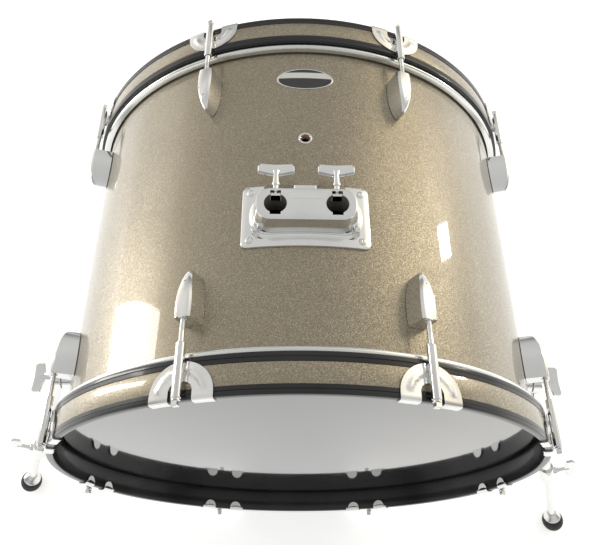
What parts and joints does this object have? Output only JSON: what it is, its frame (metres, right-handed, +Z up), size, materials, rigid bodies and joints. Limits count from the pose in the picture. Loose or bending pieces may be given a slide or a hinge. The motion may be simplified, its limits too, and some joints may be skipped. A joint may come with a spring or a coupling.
{
  "type": "bass drum",
  "caption": "Bass drum lying on its side: wrapped shell, two hoops with claws and tension rods, double tom bracket and folding spurs.",
  "frame": {"origin": "middle of the flat at the bottom of the front hoop, where the drum stands on the floor", "axes": "+Z up, the drum axis runs along Y with the front head facing -Y and the batter head facing +Y, +X to the right seen from the front"},
  "size_m": [0.8358, 0.4964, 0.5961],
  "materials": {
    "shell_wrap": "glossy champagne glitter wrap over plywood",
    "hoop_lacquer": "gloss black lacquer on maple with a glitter inlay",
    "chrome": "polished chrome plate",
    "black_film": "gloss black polyester film",
    "white_film": "white coated polyester film",
    "rubber": "matt dark rubber"
  },
  "bodies": {
    "shell": {"shell": "shell_wrap", "tom_bracket": "chrome", "spur_bracket_left": "chrome", "spur_bracket_right": "chrome", "front_lug_1": "chrome", "front_lug_2": "chrome", "front_lug_3": "chrome", "front_lug_4": "chrome", "front_lug_5": "chrome", "front_lug_6": "chrome", "front_lug_7": "chrome", "front_lug_8": "chrome", "batter_lug_1": "chrome", "batter_lug_2": "chrome", "batter_lug_3": "chrome", "batter_lug_4": "chrome", "batter_lug_5": "chrome", "batter_lug_6": "chrome", "batter_lug_7": "chrome", "batter_lug_8": "chrome"},
    "front_rim": {"front_hoop": "hoop_lacquer", "front_head": "black_film", "front_claw_1": "chrome", "front_claw_2": "chrome", "front_claw_3": "chrome", "front_claw_4": "chrome", "front_claw_5": "chrome", "front_claw_6": "chrome", "front_claw_7": "chrome", "front_claw_8": "chrome"},
    "batter_rim": {"batter_hoop": "hoop_lacquer", "batter_head": "white_film"},
    "front_rod_1": {"front_tension_rod_1": "chrome"},
    "front_rod_2": {"front_tension_rod_2": "chrome"},
    "front_rod_3": {"front_tension_rod_3": "chrome"},
    "front_rod_4": {"front_tension_rod_4": "chrome"},
    "front_rod_5": {"front_tension_rod_5": "chrome"},
    "front_rod_6": {"front_tension_rod_6": "chrome"},
    "front_rod_7": {"front_tension_rod_7": "chrome"},
    "front_rod_8": {"front_tension_rod_8": "chrome"},
    "batter_rod_1": {"batter_tension_rod_1": "chrome"},
    "batter_rod_2": {"batter_tension_rod_2": "chrome"},
    "batter_rod_3": {"batter_tension_rod_3": "chrome"},
    "batter_rod_4": {"batter_tension_rod_4": "chrome"},
    "batter_rod_5": {"batter_tension_rod_5": "chrome"},
    "batter_rod_6": {"batter_tension_rod_6": "chrome"},
    "batter_rod_7": {"batter_tension_rod_7": "chrome"},
    "batter_rod_8": {"batter_tension_rod_8": "chrome"},
    "tom_screw_left": {"tom_wing_screw_left": "chrome"},
    "tom_screw_right": {"tom_wing_screw_right": "chrome"},
    "spur_left": {"spur_tube_left": "chrome"},
    "spur_leg_left": {"spur_leg_left": "chrome"},
    "spur_foot_left": {"spur_foot_left": "rubber"},
    "spur_fold_bolt_left": {"spur_fold_bolt_left": "chrome"},
    "spur_leg_bolt_left": {"spur_leg_bolt_left": "chrome"},
    "spur_right": {"spur_tube_right": "chrome"},
    "spur_leg_right": {"spur_leg_right": "chrome"},
    "spur_foot_right": {"spur_foot_right": "rubber"},
    "spur_fold_bolt_right": {"spur_fold_bolt_right": "chrome"},
    "spur_leg_bolt_right": {"spur_leg_bolt_right": "chrome"}
  },
  "joints": [
    {"name": "front_tuning", "type": "slide", "parent": "shell", "child": "front_rim", "axis": [0, -1, 0], "range_m": [0, 0.008]},
    {"name": "batter_tuning", "type": "slide", "parent": "shell", "child": "batter_rim", "axis": [0, 1, 0], "range_m": [0, 0.008]},
    {"name": "front_rod_turn_1", "type": "hinge", "parent": "front_rim", "child": "front_rod_1", "pos_m": [0.11481, 0.0108, 0.57031], "axis": [0, -1, 0], "range_deg": [0, 2730]},
    {"name": "front_rod_turn_2", "type": "hinge", "parent": "front_rim", "child": "front_rod_2", "pos_m": [0.27716, 0.0108, 0.40795], "axis": [0, -1, 0], "range_deg": [0, 2730]},
    {"name": "front_rod_turn_3", "type": "hinge", "parent": "front_rim", "child": "front_rod_3", "pos_m": [0.27716, 0.0108, 0.17834], "axis": [0, -1, 0], "range_deg": [0, 2730]},
    {"name": "front_rod_turn_4", "type": "hinge", "parent": "front_rim", "child": "front_rod_4", "pos_m": [0.11481, 0.0108, 0.01598], "axis": [0, -1, 0], "range_deg": [0, 2730]},
    {"name": "front_rod_turn_5", "type": "hinge", "parent": "front_rim", "child": "front_rod_5", "pos_m": [-0.11481, 0.0108, 0.01598], "axis": [0, -1, 0], "range_deg": [0, 2730]},
    {"name": "front_rod_turn_6", "type": "hinge", "parent": "front_rim", "child": "front_rod_6", "pos_m": [-0.27716, 0.0108, 0.17834], "axis": [0, -1, 0], "range_deg": [0, 2730]},
    {"name": "front_rod_turn_7", "type": "hinge", "parent": "front_rim", "child": "front_rod_7", "pos_m": [-0.27716, 0.0108, 0.40795], "axis": [0, -1, 0], "range_deg": [0, 2730]},
    {"name": "front_rod_turn_8", "type": "hinge", "parent": "front_rim", "child": "front_rod_8", "pos_m": [-0.11481, 0.0108, 0.57031], "axis": [0, -1, 0], "range_deg": [0, 2730]},
    {"name": "batter_rod_turn_1", "type": "hinge", "parent": "batter_rim", "child": "batter_rod_1", "pos_m": [0.11481, 0.4108, 0.57031], "axis": [0, 1, 0], "range_deg": [0, 2730]},
    {"name": "batter_rod_turn_2", "type": "hinge", "parent": "batter_rim", "child": "batter_rod_2", "pos_m": [0.27716, 0.4108, 0.40795], "axis": [0, 1, 0], "range_deg": [0, 2730]},
    {"name": "batter_rod_turn_3", "type": "hinge", "parent": "batter_rim", "child": "batter_rod_3", "pos_m": [0.27716, 0.4108, 0.17834], "axis": [0, 1, 0], "range_deg": [0, 2730]},
    {"name": "batter_rod_turn_4", "type": "hinge", "parent": "batter_rim", "child": "batter_rod_4", "pos_m": [0.11481, 0.4108, 0.01598], "axis": [0, 1, 0], "range_deg": [0, 2730]},
    {"name": "batter_rod_turn_5", "type": "hinge", "parent": "batter_rim", "child": "batter_rod_5", "pos_m": [-0.11481, 0.4108, 0.01598], "axis": [0, 1, 0], "range_deg": [0, 2730]},
    {"name": "batter_rod_turn_6", "type": "hinge", "parent": "batter_rim", "child": "batter_rod_6", "pos_m": [-0.27716, 0.4108, 0.17834], "axis": [0, 1, 0], "range_deg": [0, 2730]},
    {"name": "batter_rod_turn_7", "type": "hinge", "parent": "batter_rim", "child": "batter_rod_7", "pos_m": [-0.27716, 0.4108, 0.40795], "axis": [0, 1, 0], "range_deg": [0, 2730]},
    {"name": "batter_rod_turn_8", "type": "hinge", "parent": "batter_rim", "child": "batter_rod_8", "pos_m": [-0.11481, 0.4108, 0.57031], "axis": [0, 1, 0], "range_deg": [0, 2730]},
    {"name": "tom_screw_turn_left", "type": "hinge", "parent": "shell", "child": "tom_screw_left", "pos_m": [-0.031, 0.1923, 0.59065], "axis": [0, 1, 0], "range_deg": [-90, 720]},
    {"name": "tom_screw_turn_right", "type": "hinge", "parent": "shell", "child": "tom_screw_right", "pos_m": [0.031, 0.1923, 0.59065], "axis": [0, 1, 0], "range_deg": [-90, 720]},
    {"name": "spur_fold_left", "type": "hinge", "parent": "shell", "child": "spur_left", "pos_m": [-0.312, 0.0968, 0.27715], "axis": [1, 0, 0], "range_deg": [-10, 100]},
    {"name": "spur_fold_bolt_turn_left", "type": "hinge", "parent": "shell", "child": "spur_fold_bolt_left", "pos_m": [-0.322, 0.0968, 0.27715], "axis": [-1, 0, 0], "range_deg": [-90, 360]},
    {"name": "spur_extend_left", "type": "slide", "parent": "spur_left", "child": "spur_leg_left", "axis": [-0.3322, -0.2632, -0.9058], "range_m": [-0.04, 0.09]},
    {"name": "spur_leg_bolt_turn_left", "type": "hinge", "parent": "spur_left", "child": "spur_leg_bolt_left", "pos_m": [-0.3886, 0.04872, 0.11165], "axis": [-0.9432, 0.0927, 0.319], "range_deg": [-90, 360]},
    {"name": "spur_foot_turn_left", "type": "hinge", "parent": "spur_leg_left", "child": "spur_foot_left", "pos_m": [-0.40795, 0.02079, 0.0155], "axis": [-0.3322, -0.2632, -0.9058], "range_deg": [-180, 180]},
    {"name": "spur_fold_right", "type": "hinge", "parent": "shell", "child": "spur_right", "pos_m": [0.312, 0.0968, 0.27715], "axis": [1, 0, 0], "range_deg": [-10, 100]},
    {"name": "spur_fold_bolt_turn_right", "type": "hinge", "parent": "shell", "child": "spur_fold_bolt_right", "pos_m": [0.322, 0.0968, 0.27715], "axis": [1, 0, 0], "range_deg": [-90, 360]},
    {"name": "spur_extend_right", "type": "slide", "parent": "spur_right", "child": "spur_leg_right", "axis": [0.279, -0.4255, -0.8609], "range_m": [-0.04, 0.09]},
    {"name": "spur_leg_bolt_turn_right", "type": "hinge", "parent": "spur_right", "child": "spur_leg_bolt_right", "pos_m": [0.37885, 0.01866, 0.11905], "axis": [0.9603, 0.1236, 0.2501], "range_deg": [-90, 360]},
    {"name": "spur_foot_turn_right", "type": "hinge", "parent": "spur_leg_right", "child": "spur_foot_right", "pos_m": [0.39679, -0.03251, 0.0155], "axis": [0.279, -0.4255, -0.8609], "range_deg": [-180, 180]}
  ],
  "couplings": [
    {"joint": "front_rod_turn_1", "follows": "front_tuning", "rad_per_m": 5937},
    {"joint": "front_rod_turn_2", "follows": "front_tuning", "rad_per_m": 5937},
    {"joint": "front_rod_turn_3", "follows": "front_tuning", "rad_per_m": 5937},
    {"joint": "front_rod_turn_4", "follows": "front_tuning", "rad_per_m": 5937},
    {"joint": "front_rod_turn_5", "follows": "front_tuning", "rad_per_m": 5937},
    {"joint": "front_rod_turn_6", "follows": "front_tuning", "rad_per_m": 5937},
    {"joint": "front_rod_turn_7", "follows": "front_tuning", "rad_per_m": 5937},
    {"joint": "front_rod_turn_8", "follows": "front_tuning", "rad_per_m": 5937},
    {"joint": "batter_rod_turn_1", "follows": "batter_tuning", "rad_per_m": 5937},
    {"joint": "batter_rod_turn_2", "follows": "batter_tuning", "rad_per_m": 5937},
    {"joint": "batter_rod_turn_3", "follows": "batter_tuning", "rad_per_m": 5937},
    {"joint": "batter_rod_turn_4", "follows": "batter_tuning", "rad_per_m": 5937},
    {"joint": "batter_rod_turn_5", "follows": "batter_tuning", "rad_per_m": 5937},
    {"joint": "batter_rod_turn_6", "follows": "batter_tuning", "rad_per_m": 5937},
    {"joint": "batter_rod_turn_7", "follows": "batter_tuning", "rad_per_m": 5937},
    {"joint": "batter_rod_turn_8", "follows": "batter_tuning", "rad_per_m": 5937}
  ]
}
